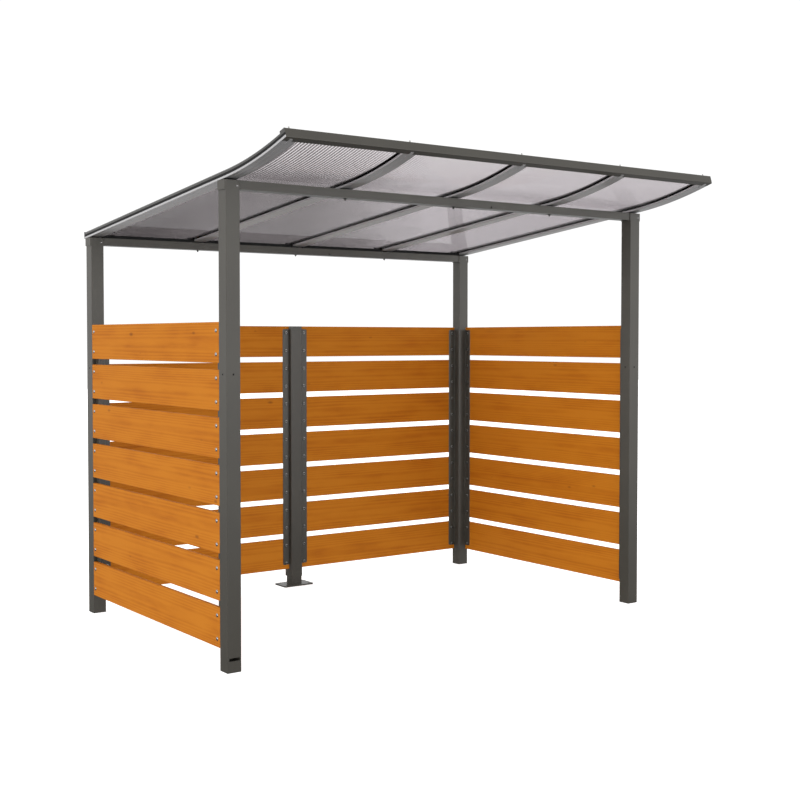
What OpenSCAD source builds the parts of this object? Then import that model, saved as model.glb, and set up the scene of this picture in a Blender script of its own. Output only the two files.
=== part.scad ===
// Bike shelter: four square posts, boarded sides and back, and a lean-to roof
// that curves upward over its open front. Millimetres, Z up, floor at Z = 0.
// X runs along the open front and Y from the front to the back.

/* [Overall] */
// Width over the posts
shelter_w = 2600; // [1800:10:3600]
// Depth over the posts
shelter_d = 1575; // [1300:5:2400]
// Height of the front header's top above the floor
front_h = 2180; // [1950:5:2600]
// Height of the back header's top above the floor
back_h = 2025; // [1850:5:2100]

/* [Posts] */
// Outside size of the square corner posts
post_size = 70; // [60:1:100]
// Wall of every post tube
post_wall = 3; // [2:0.5:5]
// Depth of the middle post, front to back
middle_post_d = 60; // [50:1:80]
// Length of the slot at the foot of the front left post
foot_slot_w = 52; // [20:1:54]
// Height of that slot
foot_slot_h = 14; // [6:1:30]
// Height of the slot's middle above the floor
foot_slot_z = 59; // [30:1:90]

/* [Base plate] */
// Length of the middle post's base plate, along the back
base_plate_w = 200; // [180:1:260]
// Width of the base plate, front to back
base_plate_d = 124; // [116:1:180]
// Thickness of the base plate
base_plate_t = 8; // [5:0.5:15]
// Radius of the base plate's corners
base_plate_r = 10; // [2:0.5:16]
// Diameter of the four anchor holes
anchor_hole_d = 14; // [8:0.5:18]
// Spacing of the anchor holes along the back
anchor_pitch_x = 150; // [130:1:154]
// Spacing of the anchor holes front to back
anchor_pitch_y = 90; // [80:1:92]

/* [Headers] */
// Height of the header tubes
header_h = 40; // [30:1:60]
// Depth of the header tubes, front to back
header_d = 60; // [40:1:60]
// Wall of the header tubes
header_wall = 2; // [1.5:0.5:4]
// Height of the plates that clamp a header to its posts
head_plate_h = 43; // [40:1:80]
// Width of those plates
head_plate_w = 66; // [30:1:68]
// Thickness of those plates
head_plate_t = 5; // [3:0.5:8]
// Diameter of the hole in the front face of each header
header_hole_d = 8; // [4:0.5:12]
// Distance of that hole from the middle of the header
header_hole_x = 224; // [100:1:400]
// Height of that hole above the header's underside
header_hole_z = 9; // [8:0.5:14]

/* [Boards] */
// Height of a board
board_h = 182; // [120:1:200]
// Open gap between two boards
board_gap = 30.5; // [10:0.5:40]
// Thickness of a board
board_t = 20; // [15:0.5:26]
// Number of boards in each panel
board_count = 7; // [4:1:7]
// Height of the lowest board's underside
board_base = 100; // [100:1:140]
// Clearance between a board's end and the steel beside it
board_end_gap = 0.5; // [0.3:0.1:3]

/* [Brackets] */
// Thickness of the folded sheet
bracket_t = 3; // [2:0.5:4]
// Reach of the flanges that the boards are bolted to
flange_w = 48; // [35:1:70]
// Distance of the flanges' lower ends above the lowest board's underside
flange_foot = 27; // [5:1:60]
// Distance of the flanges' upper ends below the top board's upper edge
flange_head = 17; // [5:1:40]
// Height of the middle bracket's lower end
middle_bracket_foot = 53; // [20:1:90]
// Reach of the middle bracket's sides past the back of its post
middle_bracket_back = 8; // [0:1:12]

/* [Roof] */
// Reach of the roof in front of the posts
front_reach = 510; // [300:5:700]
// Reach of the roof behind the posts
back_reach = 24; // [15:1:120]
// Radius of the upward curve at the front, on the rafters' underside
roof_radius = 2340; // [1800:10:4000]
// Width of a rafter, its seal and its cap
rafter_w = 70; // [50:1:90]
// Height of a rafter
rafter_h = 10; // [8:0.5:30]
// Wall of a rafter
rafter_wall = 2; // [1:0.5:3]
// Thickness of a roof sheet
sheet_t = 10; // [6:0.5:16]
// Thickness of the rubber above and below a sheet
seal_t = 1; // [0.5:0.25:3]
// Width of a sheet's edge held by a rafter
sheet_bite = 25; // [15:1:30]
// Play between a sheet's edge and the rubber beside it
sheet_play = 0.3; // [0.2:0.1:3]
// Height of a cap
cap_h = 15; // [8:0.5:25]
// Width of the slope along each edge of a cap
cap_bevel = 6; // [2:0.5:12]
// Thickness of the plugs on the back ends
plug_t = 4; // [2:0.5:10]
// Leg of the trim on the sheets' back edges
trim_leg = 14; // [8:1:30]
// Thickness of that trim
trim_t = 1.5; // [1:0.25:3]

/* [Fascia] */
// Depth of the fascia tube
fascia_d = 38; // [25:1:60]
// Wall of the fascia tube
fascia_wall = 2; // [1.5:0.5:4]
// Height of the fascia above the caps
fascia_rise = 4.5; // [0:0.5:10]
// Width of the clips under the fascia
clip_w = 14; // [8:1:30]
// Reach of those clips along the rafters
clip_l = 22; // [12:1:40]
// Thickness of those clips
clip_t = 3; // [2:0.5:6]

/* [Studs] */
// Diameter of the threaded studs on the roof
stud_d = 6; // [4:1:12]
// Height of the studs on the fascia, one over each rafter
fascia_stud_h = 15.5; // [8:0.5:40]
// Height of the studs on the caps
cap_stud_h = 10; // [5:1:30]
// Distance of the caps' studs behind the posts' front faces, along the slope
cap_stud_y = 812; // [100:1:1200]

/* [Hidden] */
$fn = 48;

// Number of roof sheets, each a piece of its own
bay_count = 4;

half_w = shelter_w / 2;

// The headers stand in the middle of the posts' depth
header_inset = (post_size - header_d) / 2;

// Roof slope, from the rear edges of the headers, which the rafters rest on
pitch = atan((front_h - back_h) / (shelter_d - post_size));
post_drop = header_inset * tan(pitch);
roof_z = front_h + (post_size - header_inset) * tan(pitch);
sweep = asin(sin(pitch) + (front_reach - fascia_d) / roof_radius) - pitch;
slope_l = (shelter_d + back_reach) / cos(pitch);

// Heights of the roof's layers above the rafters' underside
sheet_z = rafter_h + seal_t;
cap_z = sheet_z + sheet_t + seal_t;
roof_t = cap_z + cap_h;
fascia_h = roof_t + fascia_rise;

// The origin is in the middle of everything, seen from above
front_extent = front_reach - fascia_d * (1 - cos(pitch + sweep));
back_extent = max(back_reach + roof_t * sin(pitch), (base_plate_d - board_t) / 2);
front_y = (front_extent - back_extent - shelter_d) / 2;
back_y = front_y + shelter_d;

board_pitch = board_h + board_gap;
boards_top = board_base + (board_count - 1) * board_pitch + board_h;
flange_z0 = board_base + flange_foot;
flange_z1 = boards_top - flange_head;

// The middle post stands astride the boards of the back
middle_post_y = back_y - board_t / 2;
middle_front = middle_post_y - middle_post_d / 2;
middle_half = post_size / 2 + bracket_t;

// Overlap of cutting bodies with what they cut
cut = 1;

steel = "#66625d";
timber = "#c47a2b";
rubber = "#202020";
bare = "#a3a2a3";
sheet_grey = "#c3c2c3";

// A box given by its lowest and highest corners
module span(low, high) {
    translate(low) cube(high - low);
}

// A vertical square or oblong tube centred on a point of the plan
module upright(x, y, w, d, z0, z1, wall) {
    difference() {
        span([x - w / 2, y - d / 2, z0], [x + w / 2, y + d / 2, z1]);
        span([x - w / 2 + wall, y - d / 2 + wall, z0 - cut], [x + w / 2 - wall, y + d / 2 - wall, z1 + cut]);
    }
}

// Draws its child on the left as well as on the right
module side(s) {
    if (s > 0) {
        children();
    } else {
        mirror([1, 0, 0]) children();
    }
}

// Corner posts, cut level under the rafters
module front_post(s) {
    color(steel) side(s) difference() {
        upright(half_w - post_size / 2, front_y + post_size / 2, post_size, post_size,
            0, front_h - post_drop, post_wall);
        if (s < 0) {
            translate([half_w - (post_size + foot_slot_w) / 2, front_y - cut, foot_slot_z - foot_slot_h / 2])
                cube([foot_slot_w, post_wall + 2 * cut, foot_slot_h]);
        }
    }
}

module back_post(s) {
    color(steel) side(s)
        upright(half_w - post_size / 2, back_y - post_size / 2, post_size, post_size,
            0, back_h - post_drop, post_wall);
}

module middle_post() {
    color(steel)
        upright(0, middle_post_y, post_size, middle_post_d, base_plate_t, boards_top, post_wall);
}

module middle_base_plate() {
    flat_w = base_plate_w - 2 * base_plate_r;
    flat_d = base_plate_d - 2 * base_plate_r;
    color(steel) difference() {
        union() {
            translate([0, middle_post_y, base_plate_t / 2]) {
                cube([base_plate_w, flat_d, base_plate_t], center = true);
                cube([flat_w, base_plate_d, base_plate_t], center = true);
            }
            for (x = [-1, 1], y = [-1, 1]) {
                translate([x * flat_w / 2, middle_post_y + y * flat_d / 2, 0])
                    cylinder(r = base_plate_r, h = base_plate_t);
            }
        }
        for (x = [-1, 1], y = [-1, 1]) {
            translate([x * anchor_pitch_x / 2, middle_post_y + y * anchor_pitch_y / 2, -cut])
                cylinder(d = anchor_hole_d, h = base_plate_t + 2 * cut);
        }
    }
}

// Front face of the header over the front posts or over the back posts
function header_y(s) = s < 0 ? front_y + header_inset : back_y - header_inset - header_d;

// A header tube with a welded plate at each end; s is -1 at the front and 1 at the back
module header(s, top) {
    y0 = header_y(s);
    tube_l = half_w - post_size - head_plate_t;
    color(steel) {
        difference() {
            span([-tube_l, y0, top - header_h], [tube_l, y0 + header_d, top]);
            span([-tube_l - cut, y0 + header_wall, top - header_h + header_wall],
                [tube_l + cut, y0 + header_d - header_wall, top - header_wall]);
            translate([header_hole_x, y0 - cut, top - header_h + header_hole_z])
                rotate([-90, 0, 0]) cylinder(d = header_hole_d, h = header_wall + 2 * cut);
        }
        for (x = [-1, 1]) {
            translate([x * (tube_l + head_plate_t / 2), y0 + header_d / 2, top - head_plate_h / 2])
                cube([head_plate_t, head_plate_w, head_plate_h], center = true);
        }
    }
}

// The plate on the outer face of a post that its header is bolted through to
module head_plate(sx, sy, top) {
    color(steel) side(sx)
        translate([half_w, header_y(sy) + (header_d - head_plate_w) / 2, top - head_plate_h])
            cube([head_plate_t, head_plate_w, head_plate_h]);
}

// Folded bracket of a front post: a flange, and a web on the post's back face
module front_bracket(s) {
    x1 = half_w - board_t;
    x0 = half_w - post_size;
    y0 = front_y + post_size;
    color(steel) side(s) {
        span([x1 - bracket_t, y0, flange_z0], [x1, y0 + flange_w, flange_z1]);
        span([x0, y0, flange_z0], [x1, y0 + bracket_t, flange_z1]);
    }
}

// Folded bracket of a back post: it wraps both inner faces and has two flanges
module back_bracket(s) {
    x0 = half_w - post_size - bracket_t;
    y0 = back_y - post_size - bracket_t;
    x1 = half_w - board_t;
    y1 = back_y - board_t;
    color(steel) side(s) {
        span([x0, y0, flange_z0], [x1, y0 + bracket_t, flange_z1]);
        span([x0, y0, flange_z0], [x0 + bracket_t, y1, flange_z1]);
        span([x1 - bracket_t, y0 + bracket_t - flange_w, flange_z0], [x1, y0 + bracket_t, flange_z1]);
        span([x0 + bracket_t - flange_w, y1 - bracket_t, flange_z0], [x0 + bracket_t, y1, flange_z1]);
    }
}

// Hat-shaped bracket around the middle post, with a flange on each side
module middle_bracket() {
    y0 = middle_front - bracket_t;
    y1 = back_y - board_t;
    y2 = middle_post_y + middle_post_d / 2 + middle_bracket_back;
    color(steel) {
        span([-middle_half, y0, middle_bracket_foot], [middle_half, y0 + bracket_t, boards_top]);
        for (s = [-1, 1]) {
            side(s) {
                span([middle_half - bracket_t, y0, middle_bracket_foot], [middle_half, y2, boards_top]);
                span([middle_half - bracket_t, y1 - bracket_t, flange_z0],
                    [middle_half - bracket_t + flange_w, y1, flange_z1]);
            }
        }
    }
}

// One stack of boards between two corners of the plan
module boards(low, high) {
    color(timber) for (i = [0 : board_count - 1]) {
        z = board_base + i * board_pitch;
        span([low[0], low[1], z], [high[0], high[1], z + board_h]);
    }
}

module side_boards(s) {
    inset = post_size + board_end_gap;
    side(s) boards([half_w - board_t, front_y + inset], [half_w, back_y - inset]);
}

module back_boards(s) {
    side(s) boards([middle_half + board_end_gap, back_y - board_t],
        [half_w - post_size - board_end_gap, back_y]);
}

// Middle of rafter i, from 0 at the left end
function rafter_x(i) =
    i == 0 ? -half_w + rafter_w / 2 :
    i == bay_count ? half_w - rafter_w / 2 :
    -half_w + i * shelter_w / bay_count;

// The roof's own frame: Y down the slope to the back, Z square to it
module on_roof() {
    translate([0, front_y, roof_z]) rotate([-pitch, 0, 0]) children();
}

// The same frame carried round the curve to the rafters' front ends
module at_roof_front() {
    on_roof()
        translate([0, 0, roof_radius]) rotate([-sweep, 0, 0]) translate([0, 0, -roof_radius]) children();
}

// A bar of the roof with an outline in X and Z, straight and then curved at the front
module roof_bar(points, back_l) {
    on_roof() {
        rotate([-90, 0, 0]) linear_extrude(height = back_l) polygon([for (p = points) [p[0], -p[1]]]);
        translate([0, 0, roof_radius]) rotate([180, 90, 0])
            rotate_extrude(angle = sweep, $fn = 96)
                polygon([for (p = points) [roof_radius - p[1], -p[0]]]);
    }
}

function box_outline(x0, x1, z0, z1) = [[x0, z0], [x1, z0], [x1, z1], [x0, z1]];

module rafter(i) {
    x = rafter_x(i);
    h = rafter_w / 2;
    color(bare) difference() {
        roof_bar(box_outline(x - h, x + h, 0, rafter_h), slope_l - plug_t);
        roof_bar(box_outline(x - h + rafter_wall, x + h - rafter_wall, rafter_wall, rafter_h - rafter_wall),
            slope_l);
    }
}

// Rubber above and below the sheets' edges, joined beside them
module seal(i) {
    x = rafter_x(i);
    h = rafter_w / 2;
    x0 = i == 0 ? x - h : x - h + sheet_bite;
    x1 = i == bay_count ? x + h : x + h - sheet_bite;
    z1 = sheet_z;
    z2 = sheet_z + sheet_t;
    below = box_outline(x - h, x + h, rafter_h, z1);
    above = box_outline(x - h, x + h, z2, cap_z);
    color(rubber)
        roof_bar([
            below[0], below[1], below[2], [x1, z1], [x1, z2], above[1],
            above[2], above[3], above[0], [x0, z2], [x0, z1], below[3]
        ], slope_l - plug_t);
}

module roof_sheet(i) {
    bite = rafter_w / 2 - sheet_bite + sheet_play;
    x0 = rafter_x(i) + bite;
    x1 = rafter_x(i + 1) - bite;
    color(sheet_grey)
        roof_bar(box_outline(x0, x1, sheet_z, sheet_z + sheet_t), slope_l - plug_t - trim_t);
}

module cap(i) {
    x = rafter_x(i);
    h = rafter_w / 2;
    color(steel)
        roof_bar([
            [x - h, cap_z], [x + h, cap_z], [x + h, roof_t - cap_bevel], [x + h - cap_bevel, roof_t],
            [x - h + cap_bevel, roof_t], [x - h, roof_t - cap_bevel]
        ], slope_l - plug_t);
}

// Channel that closes the back edges of the sheets between the rafters
module sheet_end_trim() {
    color(rubber) on_roof() for (i = [0 : bay_count - 1]) {
        x0 = rafter_x(i) + rafter_w / 2;
        x1 = rafter_x(i + 1) - rafter_w / 2;
        y1 = slope_l - plug_t;
        difference() {
            span([x0, y1 - trim_leg, sheet_z - trim_t], [x1, y1, sheet_z + sheet_t + trim_t]);
            span([x0 - cut, y1 - trim_leg - cut, sheet_z], [x1 + cut, y1 - trim_t, sheet_z + sheet_t]);
        }
    }
}

module end_plugs() {
    h = rafter_w / 2;
    color(rubber) on_roof() for (i = [0 : bay_count]) {
        span([rafter_x(i) - h, slope_l - plug_t, 0], [rafter_x(i) + h, slope_l, roof_t]);
    }
}

// Closed tube across the rafters' front ends
module fascia() {
    color(steel) at_roof_front() difference() {
        span([-half_w, -fascia_d, 0], [half_w, 0, fascia_h]);
        span([-half_w + fascia_wall, -fascia_d + fascia_wall, fascia_wall],
            [half_w - fascia_wall, -fascia_wall, fascia_h - fascia_wall]);
    }
}

// Angle under each rafter's front end that ties it to the fascia
module fascia_clips() {
    color(bare) at_roof_front() for (i = [0 : bay_count]) {
        translate([rafter_x(i), 0, 0]) {
            span([-clip_w / 2, -clip_l, -clip_t], [clip_w / 2, clip_l, 0]);
        }
    }
}

// A stud on top of each cap and, over each rafter, on top of the fascia
module roof_studs() {
    color(bare) for (i = [0 : bay_count]) {
        x = rafter_x(i);
        on_roof() translate([x, cap_stud_y, roof_t]) cylinder(d = stud_d, h = cap_stud_h);
        at_roof_front() translate([x, -fascia_d / 2, fascia_h]) cylinder(d = stud_d, h = fascia_stud_h);
    }
}

front_post(-1);  // post_front_left
front_post(1);  // post_front_right
back_post(-1);  // post_back_left
back_post(1);  // post_back_right
middle_post();
middle_base_plate();
header(-1, front_h);  // front_header
header(1, back_h);  // back_header
head_plate(-1, -1, front_h);  // head_plate_front_left
head_plate(1, -1, front_h);  // head_plate_front_right
head_plate(-1, 1, back_h);  // head_plate_back_left
head_plate(1, 1, back_h);  // head_plate_back_right
front_bracket(-1);  // bracket_front_left
front_bracket(1);  // bracket_front_right
back_bracket(-1);  // bracket_back_left
back_bracket(1);  // bracket_back_right
middle_bracket();
side_boards(-1);  // boards_left
side_boards(1);  // boards_right
back_boards(-1);  // boards_back_left
back_boards(1);  // boards_back_right
rafter(0);  // rafter_1
rafter(1);  // rafter_2
rafter(2);  // rafter_3
rafter(3);  // rafter_4
rafter(4);  // rafter_5
seal(0);  // seal_1
seal(1);  // seal_2
seal(2);  // seal_3
seal(3);  // seal_4
seal(4);  // seal_5
roof_sheet(0);  // roof_sheet_1
roof_sheet(1);  // roof_sheet_2
roof_sheet(2);  // roof_sheet_3
roof_sheet(3);  // roof_sheet_4
cap(0);  // cap_1
cap(1);  // cap_2
cap(2);  // cap_3
cap(3);  // cap_4
cap(4);  // cap_5
fascia();
fascia_clips();
roof_studs();
sheet_end_trim();
end_plugs();
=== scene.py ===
import bpy
import numpy as np
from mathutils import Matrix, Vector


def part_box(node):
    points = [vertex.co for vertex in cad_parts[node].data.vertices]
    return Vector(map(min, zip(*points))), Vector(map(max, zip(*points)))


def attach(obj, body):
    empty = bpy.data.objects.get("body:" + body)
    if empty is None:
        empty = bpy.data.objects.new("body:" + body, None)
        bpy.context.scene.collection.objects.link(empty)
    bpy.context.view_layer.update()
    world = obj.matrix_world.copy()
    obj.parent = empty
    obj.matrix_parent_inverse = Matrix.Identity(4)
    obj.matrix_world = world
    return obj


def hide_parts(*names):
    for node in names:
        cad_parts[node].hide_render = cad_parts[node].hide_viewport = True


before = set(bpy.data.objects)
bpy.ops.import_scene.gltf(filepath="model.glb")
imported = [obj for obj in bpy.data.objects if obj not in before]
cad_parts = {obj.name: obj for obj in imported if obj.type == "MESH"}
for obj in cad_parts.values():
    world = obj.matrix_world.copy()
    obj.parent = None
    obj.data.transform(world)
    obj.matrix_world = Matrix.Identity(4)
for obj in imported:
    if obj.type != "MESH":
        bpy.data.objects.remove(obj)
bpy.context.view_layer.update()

mm = 0.001


# the camera stands where the photograph was taken

photoView = {
    "place": (-3.9273, -5.4307, 1.4809),   # metres
    "heading": 35.548,                     # degrees from +Y towards +X
    "tilt": -1.833,                        # degrees above the horizon
    "lens": 56.32,                         # mm
    "sensor": 36,                          # mm
    "shift": (0.0192, -0.0261),            # the picture's middle lies off the lens axis
    "farthest": 200,                       # metres
}


def setCamera():
    lens = bpy.data.cameras.new("photoCamera")
    lens.sensor_width = photoView["sensor"]
    lens.lens = photoView["lens"]
    lens.shift_x, lens.shift_y = photoView["shift"]
    lens.clip_end = photoView["farthest"]
    camera = bpy.data.objects.new("photoCamera", lens)
    bpy.context.collection.objects.link(camera)
    camera.location = photoView["place"]
    camera.rotation_euler = np.radians((90 + photoView["tilt"], 0, -photoView["heading"]))
    bpy.context.scene.camera = camera


setCamera()
print("camera set")


# colours and nodes

def linearColour(code):
    # each sRGB channel c becomes ((c + 0.055) / 1.055) to the power 2.4, or c / 12.92 when dark
    channels = np.array([int(code[i:i + 2], 16) for i in (1, 3, 5)]) / 255
    bright = ((channels + 0.055) / 1.055) ** 2.4
    return (*np.where(channels <= 0.04045, channels / 12.92, bright), 1.0)


def addNode(tree, kind, settings=None, links=None):
    # settings name an input or a property of the node, and stops are a colour ramp's positions and
    # sRGB hex colours; links name an input and give what feeds it
    node = tree.nodes.new("ShaderNode" + kind)
    for name, value in (settings or {}).items():
        if name == "stops":
            elements = node.color_ramp.elements
            while len(elements) < len(value):
                elements.new(0.5)
            for element, (position, code) in zip(elements, value):
                element.position = position
                element.color = linearColour(code)
        elif isinstance(name, int) or name in node.inputs:
            node.inputs[name].default_value = value
        else:
            setattr(node, name, value)
    for name, source in (links or {}).items():
        tree.links.new(source, node.inputs[name])
    return node


def newMaterial(name):
    material = bpy.data.materials.new(name)
    material.use_nodes = True
    material.node_tree.nodes.clear()
    return material, material.node_tree


def finishMaterial(tree, surface):
    addNode(tree, "OutputMaterial", {}, {"Surface": surface.outputs["BSDF"]})


# powder coat baked on metal: an even satin skin, a faint orange peel and slight drifts of tone
powderCoat = {
    "onSteel": [(0.3, "#413e38"), (0.7, "#47443d")],
    "onAluminium": [(0.3, "#434240"), (0.7, "#4a4947")],
    "drift": 350 * mm,         # size of the drifts of tone
    "peel": 2.5 * mm,          # size and depth of the orange peel
    "peelDepth": 0.2 * mm,
    "roughness": 0.3,
}


def powderCoated(name, stops):
    material, tree = newMaterial(name)
    place = addNode(tree, "TexCoord").outputs["Object"]
    drift = addNode(tree, "TexNoise", {"Scale": 1 / powderCoat["drift"], "Detail": 3.0},
                    {"Vector": place})
    tone = addNode(tree, "ValToRGB", {"stops": stops}, {"Fac": drift.outputs["Fac"]})
    peel = addNode(tree, "TexNoise", {"Scale": 1 / powderCoat["peel"], "Detail": 1.0},
                   {"Vector": place})
    bump = addNode(tree, "Bump", {"Strength": 0.06, "Distance": powderCoat["peelDepth"]},
                   {"Height": peel.outputs["Fac"]})
    surface = addNode(tree, "BsdfPrincipled", {"Roughness": powderCoat["roughness"], "IOR": 1.5},
                      {"Base Color": tone.outputs["Color"], "Normal": bump.outputs["Normal"]})
    finishMaterial(tree, surface)
    return material


# extruded and anodised aluminium: a pale satin grey, silvery at a low angle, with fine die lines
anodised = {"stops": [(0.3, "#c3c2c3"), (0.7, "#cbcacb")], "roughness": 0.28,
            "line": 1.6 * mm, "lineDepth": 0.1 * mm,
            "lineSqueeze": (1.0, 0.02, 0.3)}   # shrinks places, so that the lines run along Y


def anodisedAluminium():
    material, tree = newMaterial("anodisedAluminium")
    place = addNode(tree, "TexCoord").outputs["Object"]
    along = addNode(tree, "Mapping", {"Scale": anodised["lineSqueeze"]}, {"Vector": place})
    lines = addNode(tree, "TexNoise", {"Scale": 1 / anodised["line"], "Detail": 2.0},
                    {"Vector": along.outputs["Vector"]})
    bump = addNode(tree, "Bump", {"Strength": 0.08, "Distance": anodised["lineDepth"]},
                   {"Height": lines.outputs["Fac"]})
    tone = addNode(tree, "ValToRGB", {"stops": anodised["stops"]}, {"Fac": lines.outputs["Fac"]})
    surface = addNode(tree, "BsdfPrincipled",
                      {"Roughness": anodised["roughness"], "Metallic": 0.6, "IOR": 1.5},
                      {"Base Color": tone.outputs["Color"], "Normal": bump.outputs["Normal"]})
    finishMaterial(tree, surface)
    return material


# four plain finishes, in which noise of the patch's size runs through the stops

# black EPDM rubber, extruded: matt, nearly black, a little dusty
dustyRubber = {"stops": [(0.3, "#0d0d0d"), (0.8, "#181818")], "patch": 60 * mm, "detail": 4.0,
               "surface": {"Roughness": 0.55, "IOR": 1.4, "Specular IOR Level": 0.3}}
# steel with a black oxide finish: dark and smooth enough to carry one small bright highlight
blackOxide = {"stops": [(0.35, "#1b1a19"), (0.8, "#393735")], "patch": 6 * mm, "detail": 3.0,
              "surface": {"Roughness": 0.24, "Metallic": 0.7}}
# steel turned, polished and zinc-plated: bolt heads that mirror white above and dark below
brightZinc = {"stops": [(0.3, "#a8a7a6"), (0.7, "#bebdbc")], "patch": 4 * mm, "detail": 2.0,
              "surface": {"Roughness": 0.16, "Metallic": 1.0}}
# steel plated with zinc and left as it came: light grey, slightly mottled
dullZinc = {"stops": [(0.3, "#8a8886"), (0.7, "#a9a7a5")], "patch": 5 * mm, "detail": 3.0,
            "surface": {"Roughness": 0.35, "Metallic": 1.0}}


def plainFinish(name, finish):
    material, tree = newMaterial(name)
    place = addNode(tree, "TexCoord").outputs["Object"]
    noise = addNode(tree, "TexNoise", {"Scale": 1 / finish["patch"], "Detail": finish["detail"]},
                    {"Vector": place})
    tone = addNode(tree, "ValToRGB", {"stops": finish["stops"]}, {"Fac": noise.outputs["Fac"]})
    surface = addNode(tree, "BsdfPrincipled", finish["surface"],
                      {"Base Color": tone.outputs["Color"]})
    finishMaterial(tree, surface)
    return material


# planed softwood under an orange oil: long soft rings, finer fibre and a few small knots
pine = {
    "stops": [(0.45, "#ab5f0b"), (0.7, "#bb6d10"), (0.95, "#c37617")], "knot": "#7a4210",
    # sizes across the grain; each squeeze shrinks places along it, so that the pattern runs long
    "ring": 9 * mm, "ringSqueeze": (0.045, 1, 1), "ringShare": 0.28,
    "trunk": 70 * mm,          # how far behind the face the trunk's middle lies
    # the fibre is drawn coarser than it is, so that it shows
    "fibre": 3 * mm, "fibreSqueeze": (0.03, 1, 1), "fibreShare": 0.32, "fibreDepth": 0.3 * mm,
    "cloud": 1000 / 12 * mm, "cloudSqueeze": (0.25, 1, 1),
    # a knot's radius is spread times a random number less loss, as a share of the knots' spacing;
    # its colour begins and is full at the two edge values inside that radius
    "knotPitch": 85 * mm, "knotSqueeze": (0.4, 1, 0.3), "knotSpread": 0.14, "knotLoss": 0.055,
    "knotEdge": (-0.05, 0.04), "knotShare": 0.8,
}


def oiledPine():
    material, tree = newMaterial("oiledPine")
    place = addNode(tree, "Attribute", {"attribute_name": "grainPlace"}).outputs["Vector"]
    # the trunk's middle lies behind the face, so rings come out wide there and narrow at the edges
    trunk = addNode(tree, "Mapping",
                    {"Location": (0, 0, pine["trunk"]), "Scale": pine["ringSqueeze"]},
                    {"Vector": place})
    # at scale 1, a wave texture's rings stand 0.314 metres apart
    rings = addNode(tree, "TexWave",
                    {"wave_type": "RINGS", "rings_direction": "X", "Scale": 0.314 / pine["ring"],
                     "Distortion": 9.0, "Detail": 3.0, "Detail Scale": 0.28,
                     "Detail Roughness": 0.6},
                    {"Vector": trunk.outputs["Vector"]})
    fibreMap = addNode(tree, "Mapping", {"Scale": pine["fibreSqueeze"]}, {"Vector": place})
    fibre = addNode(tree, "TexNoise", {"Scale": 1 / pine["fibre"], "Detail": 3.0},
                    {"Vector": fibreMap.outputs["Vector"]})
    cloudMap = addNode(tree, "Mapping", {"Scale": pine["cloudSqueeze"]}, {"Vector": place})
    cloud = addNode(tree, "TexNoise", {"Scale": 1 / pine["cloud"], "Detail": 3.0},
                    {"Vector": cloudMap.outputs["Vector"]})
    tone = addNode(tree, "Math", {"operation": "MULTIPLY_ADD", 1: pine["ringShare"]},
                   {0: rings.outputs["Fac"], 2: cloud.outputs["Fac"]})
    tone = addNode(tree, "Math", {"operation": "MULTIPLY_ADD", 1: pine["fibreShare"]},
                   {0: fibre.outputs["Fac"], 2: tone.outputs[0]})
    ground = addNode(tree, "ValToRGB", {"stops": pine["stops"]}, {"Fac": tone.outputs[0]})
    knotMap = addNode(tree, "Mapping", {"Scale": pine["knotSqueeze"]}, {"Vector": place})
    knots = addNode(tree, "TexVoronoi", {"Scale": 1 / pine["knotPitch"], "Randomness": 1.0},
                    {"Vector": knotMap.outputs["Vector"]})
    size = addNode(tree, "SeparateColor", {}, {"Color": knots.outputs["Color"]})
    # a knot's radius comes from its own random number, and most stay so small that they vanish
    edge = addNode(tree, "Math",
                   {"operation": "MULTIPLY_ADD", 1: pine["knotSpread"], 2: -pine["knotLoss"]},
                   {0: size.outputs["Red"]})
    near = addNode(tree, "Math", {"operation": "SUBTRACT"},
                   {0: edge.outputs[0], 1: knots.outputs["Distance"]})
    start, full = pine["knotEdge"]
    amount = addNode(tree, "MapRange",
                     {"From Min": start, "From Max": full, "To Max": pine["knotShare"]},
                     {"Value": near.outputs[0]})
    colour = addNode(tree, "Mix", {"data_type": "RGBA", 7: linearColour(pine["knot"])},
                     {0: amount.outputs["Result"], 6: ground.outputs["Color"]})
    bump = addNode(tree, "Bump", {"Strength": 0.15, "Distance": pine["fibreDepth"]},
                   {"Height": fibre.outputs["Fac"]})
    surface = addNode(tree, "BsdfPrincipled",
                      {"Roughness": 0.65, "IOR": 1.5, "Specular IOR Level": 0.15},
                      {"Base Color": colour.outputs[2], "Normal": bump.outputs["Normal"]})
    finishMaterial(tree, surface)
    return material


# extruded polycarbonate: clear smooth skins, with faint waves in them; the IOR is far below the
# real 1.58, with which this many thin layers turn dark at a low angle
clearSkin = {"tint": "#fbf9fa", "wave": 90 * mm, "waveDepth": 1 * mm, "ior": 1.03}


def clearPolycarbonate():
    material, tree = newMaterial("clearPolycarbonate")
    place = addNode(tree, "TexCoord").outputs["Object"]
    wave = addNode(tree, "TexNoise", {"Scale": 1 / clearSkin["wave"], "Detail": 1.0},
                   {"Vector": place})
    bump = addNode(tree, "Bump", {"Strength": 0.05, "Distance": clearSkin["waveDepth"]},
                   {"Height": wave.outputs["Fac"]})
    surface = addNode(tree, "BsdfPrincipled",
                      {"Roughness": 0.0, "IOR": clearSkin["ior"], "Transmission Weight": 1.0,
                       "Base Color": linearColour(clearSkin["tint"])},
                      {"Normal": bump.outputs["Normal"]})
    finishMaterial(tree, surface)
    return material


# extruded polycarbonate, the webs between the skins: dark and smoky when seen along, clearer when
# seen across
smokyWeb = {
    "cloud": 200 * mm, "cloudShare": 0.03,         # size and strength of the drifts in its tint
    "stops": [(0.41, "#dedbdd"), (0.45, "#9a9697"), (0.52, "#8a8687"), (0.62, "#504c4c")],
}


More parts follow.
